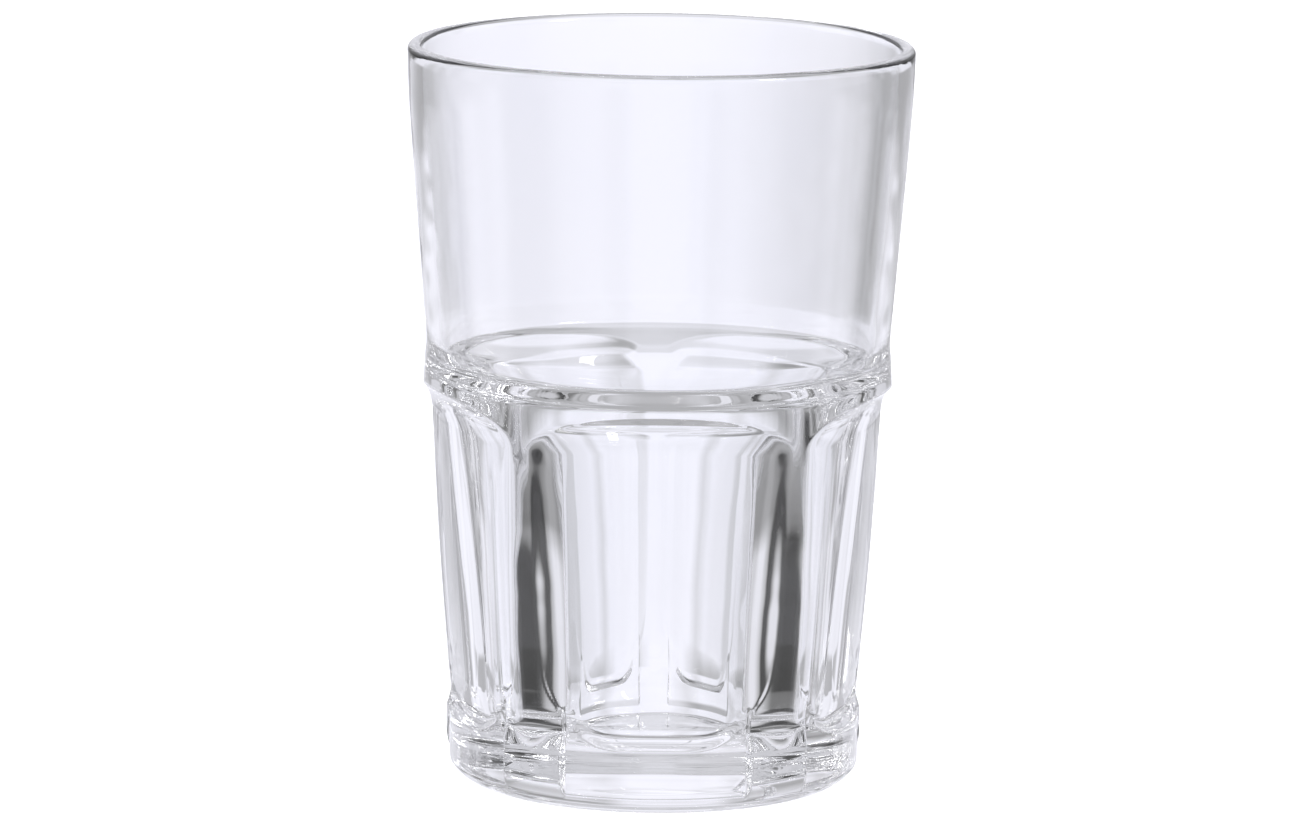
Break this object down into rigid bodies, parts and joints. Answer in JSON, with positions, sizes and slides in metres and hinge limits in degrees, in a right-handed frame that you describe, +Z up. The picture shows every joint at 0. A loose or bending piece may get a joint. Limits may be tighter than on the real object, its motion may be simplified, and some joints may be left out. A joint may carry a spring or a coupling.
{
  "type": "highball glass",
  "caption": "Clear pressed highball glass: flared upper wall, rounded shoulder with a stacking ledge inside, arched flat panels between ribs, and a heavy round foot.",
  "frame": {"origin": "middle of the base, on the surface that the glass stands on", "axes": "+Z up along the glass's axis, -Y towards the viewer of the picture, through the middle of a panel"},
  "size_m": [0.085, 0.085, 0.125],
  "materials": {
    "clear_glass": "clear, fire-polished"
  },
  "bodies": {
    "root": {"highball_glass": "clear_glass"}
  },
  "joints": []
}
